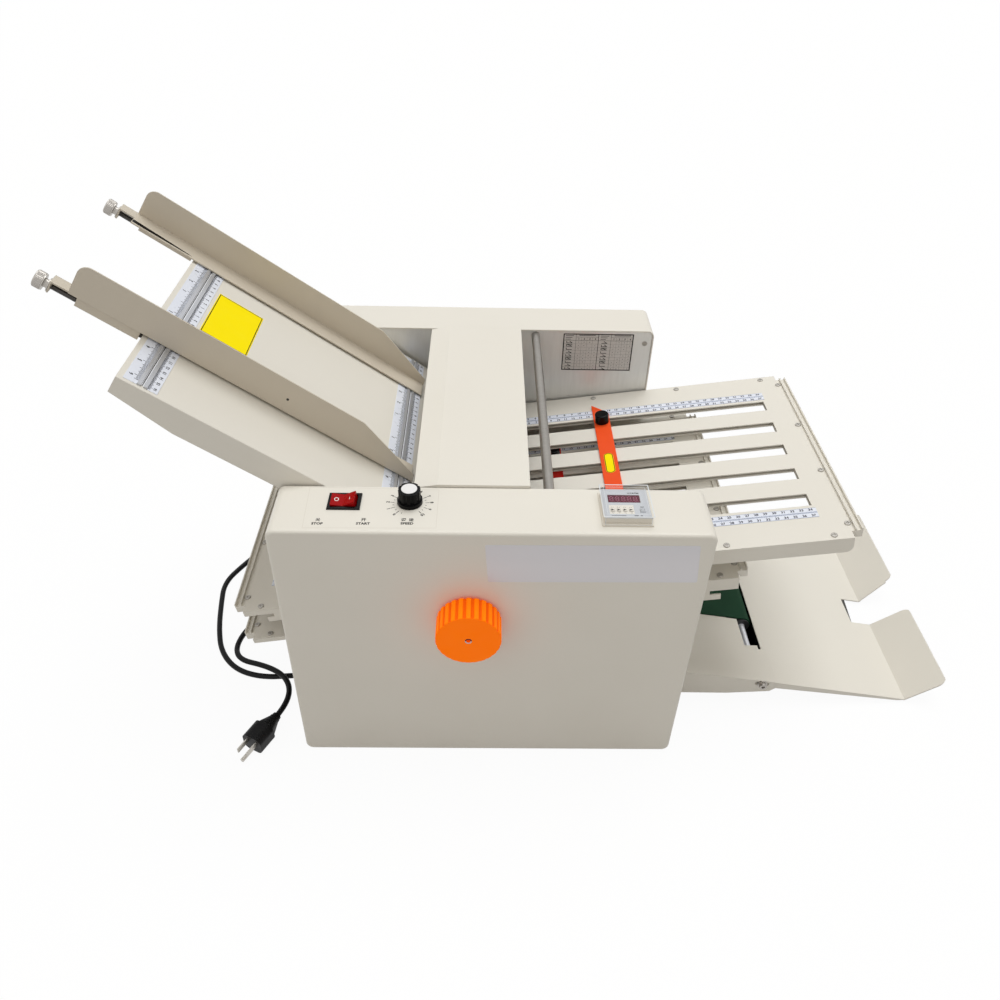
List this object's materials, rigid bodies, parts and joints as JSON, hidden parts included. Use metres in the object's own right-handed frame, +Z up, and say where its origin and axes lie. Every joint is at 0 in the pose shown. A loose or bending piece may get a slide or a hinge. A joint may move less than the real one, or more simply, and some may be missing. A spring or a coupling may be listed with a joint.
{
  "type": "paper folding machine",
  "caption": "Table-top buckle paper folder: sloping feed table with side guides, geared fold rollers, slotted fold plates with stops, handwheel and belt delivery tray.",
  "frame": {"origin": "middle of the machine on the table, without its cord", "axes": "+X to the delivery end, +Y to the rear cover, +Z up"},
  "size_m": [1.0186, 0.51, 0.5376],
  "materials": {
    "cream_paint": "satin",
    "grey_steel": "satin",
    "bright_steel": "brushed",
    "roller_rubber": "matt",
    "black_rubber": "matt",
    "orange_plastic": "satin",
    "black_plastic": "satin",
    "red_plastic": "gloss",
    "clear_plastic": "clear",
    "white_strip": "satin",
    "aluminium": "anodised",
    "stop_paint": "satin",
    "belt_green": "matt",
    "grey_plastic": "matt",
    "nickel": "nickel plated"
  },
  "bodies": {
    "frame": {"front_side_plate": "grey_steel", "rear_side_plate": "grey_steel", "front_cover": "cream_paint", "rear_cover": "cream_paint", "rods_and_studs": "bright_steel", "rubber_feet": "black_rubber", "screws": "nickel", "feed_table": "cream_paint", "feed_rails": "aluminium", "printed_rulers": "white_strip", "separator_pad": "black_rubber", "shaft_bushes": "grey_plastic", "fold_plate_1": "cream_paint", "fold_plate_2": "cream_paint", "fold_plate_3": "cream_paint", "fold_plate_4": "cream_paint", "panel_controls": "black_plastic", "counter_body": "black_plastic", "motor": "black_plastic", "drive_belt": "black_rubber", "feed_belt": "black_rubber", "delivery_tray": "cream_paint", "conveyor_belt": "belt_green", "cord_gland": "black_plastic", "power_cord": "black_rubber", "power_plug": "black_plastic"},
    "hood": {"hood": "cream_paint"},
    "front_guide": {"front_paper_guide": "cream_paint"},
    "rear_guide": {"rear_paper_guide": "cream_paint"},
    "front_guide_screw": {"front_guide_knob": "nickel"},
    "rear_guide_screw": {"rear_guide_knob": "nickel"},
    "roller_1": {"fold_roller_1": "roller_rubber"},
    "roller_2": {"fold_roller_2": "roller_rubber", "handwheel": "orange_plastic"},
    "roller_3": {"fold_roller_3": "roller_rubber"},
    "roller_4": {"fold_roller_4": "roller_rubber"},
    "roller_5": {"fold_roller_5": "roller_rubber"},
    "roller_6": {"fold_roller_6": "roller_rubber"},
    "feed_shaft": {"feed_roller": "roller_rubber"},
    "conveyor_drive": {"conveyor_drive_roller": "bright_steel"},
    "conveyor_idler": {"conveyor_idler_roller": "bright_steel"},
    "motor_shaft": {"motor_rotor": "bright_steel"},
    "stop_1": {"paper_stop_1": "stop_paint"},
    "stop_1_screw": {"stop_knob_1": "black_plastic"},
    "stop_2": {"paper_stop_2": "stop_paint"},
    "stop_2_screw": {"stop_knob_2": "black_plastic"},
    "stop_3": {"paper_stop_3": "stop_paint"},
    "stop_3_screw": {"stop_knob_3": "black_plastic"},
    "stop_4": {"paper_stop_4": "stop_paint"},
    "stop_4_screw": {"stop_knob_4": "black_plastic"},
    "rocker": {"switch_rocker": "red_plastic"},
    "speed_dial": {"speed_knob": "black_plastic"},
    "lid": {"counter_lid": "clear_plastic"},
    "button_key_1": {"counter_key_1": "grey_plastic"},
    "button_key_2": {"counter_key_2": "grey_plastic"},
    "button_key_3": {"counter_key_3": "grey_plastic"},
    "button_key_4": {"counter_key_4": "grey_plastic"},
    "button_reset": {"counter_reset": "grey_plastic"},
    "end_tray": {"tray_extension": "cream_paint", "tray_bolts": "nickel"}
  },
  "joints": [
    {"name": "hood_lift", "type": "slide", "parent": "frame", "child": "hood", "axis": [0, 0, 1], "range_m": [0, 0.06]},
    {"name": "front_guide_slide", "type": "slide", "parent": "frame", "child": "front_guide", "axis": [0, 1, 0], "range_m": [-0.055, 0.05]},
    {"name": "front_guide_knob_turn", "type": "hinge", "parent": "front_guide", "child": "front_guide_screw", "pos_m": [-0.49974, -0.066, 0.52047], "axis": [0.8198, 0, -0.5727], "range_deg": [0, 360]},
    {"name": "rear_guide_slide", "type": "slide", "parent": "frame", "child": "rear_guide", "axis": [0, 1, 0], "range_m": [-0.05, 0.04]},
    {"name": "rear_guide_knob_turn", "type": "hinge", "parent": "rear_guide", "child": "rear_guide_screw", "pos_m": [-0.49974, 0.126, 0.52047], "axis": [0.8198, 0, -0.5727], "range_deg": [0, 360]},
    {"name": "roller_1_turn", "type": "hinge", "parent": "frame", "child": "roller_1", "pos_m": [-0.07165, 0.019, 0.25435], "axis": [0, 1, 0], "continuous": true},
    {"name": "handwheel_turn", "type": "hinge", "parent": "frame", "child": "roller_2", "pos_m": [-0.0901, 0.019, 0.228], "axis": [0, 1, 0], "continuous": true},
    {"name": "roller_3_turn", "type": "hinge", "parent": "frame", "child": "roller_3", "pos_m": [-0.06735, 0.019, 0.20525], "axis": [0, 1, 0], "continuous": true},
    {"name": "roller_4_turn", "type": "hinge", "parent": "frame", "child": "roller_4", "pos_m": [-0.0901, 0.019, 0.18251], "axis": [0, 1, 0], "continuous": true},
    {"name": "roller_5_turn", "type": "hinge", "parent": "frame", "child": "roller_5", "pos_m": [-0.06735, 0.019, 0.15976], "axis": [0, 1, 0], "continuous": true},
    {"name": "roller_6_turn", "type": "hinge", "parent": "frame", "child": "roller_6", "pos_m": [-0.0901, 0.019, 0.13701], "axis": [0, 1, 0], "continuous": true},
    {"name": "feed_roller_turn", "type": "hinge", "parent": "frame", "child": "feed_shaft", "pos_m": [-0.11341, 0.019, 0.27899], "axis": [0, 1, 0], "continuous": true},
    {"name": "conveyor_drive_turn", "type": "hinge", "parent": "frame", "child": "conveyor_drive", "pos_m": [-0.0321, 0.019, 0.07882], "axis": [0, 1, 0], "continuous": true},
    {"name": "conveyor_idler_turn", "type": "hinge", "parent": "frame", "child": "conveyor_idler", "pos_m": [0.2734, 0.019, 0.02879], "axis": [0, 1, 0], "continuous": true},
    {"name": "motor_turn", "type": "hinge", "parent": "frame", "child": "motor_shaft", "pos_m": [0.0459, 0.019, 0.17], "axis": [0, 1, 0], "continuous": true},
    {"name": "stop_1_slide", "type": "slide", "parent": "frame", "child": "stop_1", "axis": [0.9898, 0, 0.1426], "range_m": [-0.11, 0.207]},
    {"name": "stop_1_knob_turn", "type": "hinge", "parent": "stop_1", "child": "stop_1_screw", "pos_m": [0.08035, 0.1178, 0.24974], "axis": [-0.1426, 0, 0.9898], "range_deg": [0, 360]},
    {"name": "stop_2_slide", "type": "slide", "parent": "frame", "child": "stop_2", "axis": [-0.9848, 0, -0.1736], "range_m": [-0.1, 0.085]},
    {"name": "stop_2_knob_turn", "type": "hinge", "parent": "stop_2", "child": "stop_2_screw", "pos_m": [-0.23164, -0.0798, 0.18214], "axis": [-0.1736, 0, 0.9848], "range_deg": [0, 360]},
    {"name": "stop_3_slide", "type": "slide", "parent": "frame", "child": "stop_3", "axis": [0.9898, 0, 0.1426], "range_m": [-0.048, 0.155]},
    {"name": "stop_3_knob_turn", "type": "hinge", "parent": "stop_3", "child": "stop_3_screw", "pos_m": [0.01849, 0.1103, 0.19611], "axis": [-0.1426, 0, 0.9898], "range_deg": [0, 360]},
    {"name": "stop_4_slide", "type": "slide", "parent": "frame", "child": "stop_4", "axis": [-0.9848, 0, -0.1736], "range_m": [-0.07, 0.111]},
    {"name": "stop_4_knob_turn", "type": "hinge", "parent": "stop_4", "child": "stop_4_screw", "pos_m": [-0.20209, -0.0798, 0.14063], "axis": [-0.1736, 0, 0.9848], "range_deg": [0, 360]},
    {"name": "power_switch", "type": "hinge", "parent": "frame", "child": "rocker", "pos_m": [-0.2134, -0.1785, 0.341], "axis": [0, 1, 0], "range_deg": [0, 16]},
    {"name": "speed_turn", "type": "hinge", "parent": "frame", "child": "speed_dial", "pos_m": [-0.1491, -0.178, 0.3443], "axis": [0, 0, -1], "range_deg": [0, 300]},
    {"name": "counter_lid_open", "type": "hinge", "parent": "frame", "child": "lid", "pos_m": [0.0631, -0.1619, 0.3474], "axis": [-1, 0, 0], "range_deg": [0, 95]},
    {"name": "counter_key_1_press", "type": "slide", "parent": "frame", "child": "button_key_1", "axis": [0, 0, -1], "range_m": [0, 0.0007], "stiffness_N_per_m": 60, "springref_m": -0.001},
    {"name": "counter_key_2_press", "type": "slide", "parent": "frame", "child": "button_key_2", "axis": [0, 0, -1], "range_m": [0, 0.0007], "stiffness_N_per_m": 60, "springref_m": -0.001},
    {"name": "counter_key_3_press", "type": "slide", "parent": "frame", "child": "button_key_3", "axis": [0, 0, -1], "range_m": [0, 0.0007], "stiffness_N_per_m": 60, "springref_m": -0.001},
    {"name": "counter_key_4_press", "type": "slide", "parent": "frame", "child": "button_key_4", "axis": [0, 0, -1], "range_m": [0, 0.0007], "stiffness_N_per_m": 60, "springref_m": -0.001},
    {"name": "counter_reset_press", "type": "slide", "parent": "frame", "child": "button_reset", "axis": [0, 0, -1], "range_m": [0, 0.0007], "stiffness_N_per_m": 60, "springref_m": -0.001},
    {"name": "end_tray_slide", "type": "slide", "parent": "frame", "child": "end_tray", "axis": [0.9869, 0, -0.1616], "range_m": [0, 0.0055]}
  ],
  "couplings": [
    {"joint": "roller_1_turn", "follows": "handwheel_turn", "ratio": -1},
    {"joint": "roller_3_turn", "follows": "handwheel_turn", "ratio": -1},
    {"joint": "roller_4_turn", "follows": "handwheel_turn", "ratio": 1},
    {"joint": "roller_5_turn", "follows": "handwheel_turn", "ratio": -1},
    {"joint": "roller_6_turn", "follows": "handwheel_turn", "ratio": 1},
    {"joint": "feed_roller_turn", "follows": "handwheel_turn", "ratio": -1},
    {"joint": "conveyor_drive_turn", "follows": "handwheel_turn", "ratio": 1},
    {"joint": "conveyor_idler_turn", "follows": "handwheel_turn", "ratio": 1},
    {"joint": "motor_turn", "follows": "handwheel_turn", "ratio": 1}
  ]
}
